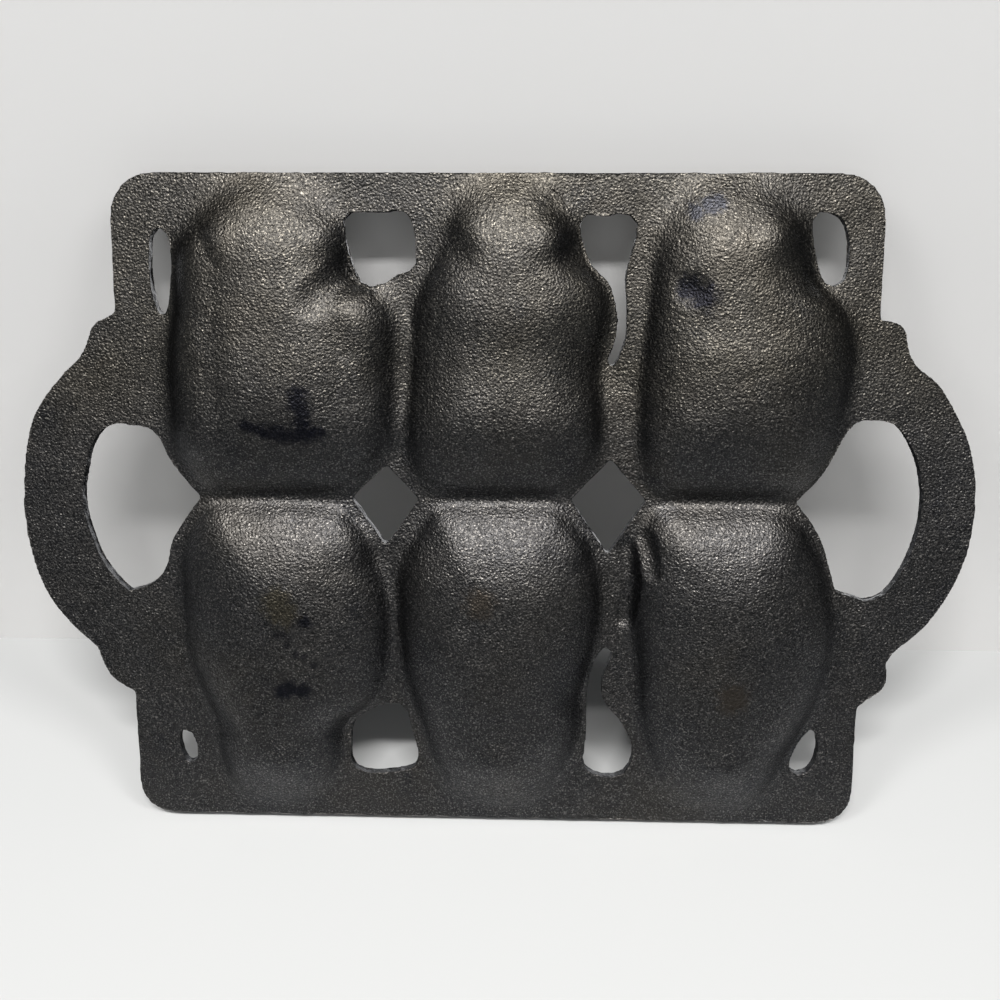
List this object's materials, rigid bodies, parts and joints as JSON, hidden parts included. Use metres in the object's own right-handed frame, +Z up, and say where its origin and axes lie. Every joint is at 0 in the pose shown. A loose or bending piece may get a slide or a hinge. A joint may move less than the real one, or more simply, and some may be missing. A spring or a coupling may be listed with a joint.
{
  "type": "snowman baking pan",
  "caption": "Cast iron baking pan: snowman-shaped cups in facing rows hang from a pierced deck with a loop handle at each end.",
  "frame": {"origin": "middle of the pan's box, on the surface that the six bodies stand on", "axes": "+X along the pan from the left handle to the right one, +Y from the front row of cups to the rear row, +Z up out of the cups' mouths"},
  "size_m": [0.3301, 0.228, 0.017],
  "materials": {
    "iron": "dark seasoned sand casting, grainy, half matt"
  },
  "bodies": {
    "root": {"cup_front_left": "iron", "cup_front_middle": "iron", "cup_front_right": "iron", "cup_rear_left": "iron", "cup_rear_middle": "iron", "cup_rear_right": "iron", "deck": "iron", "handle_left": "iron", "handle_right": "iron"}
  },
  "joints": []
}
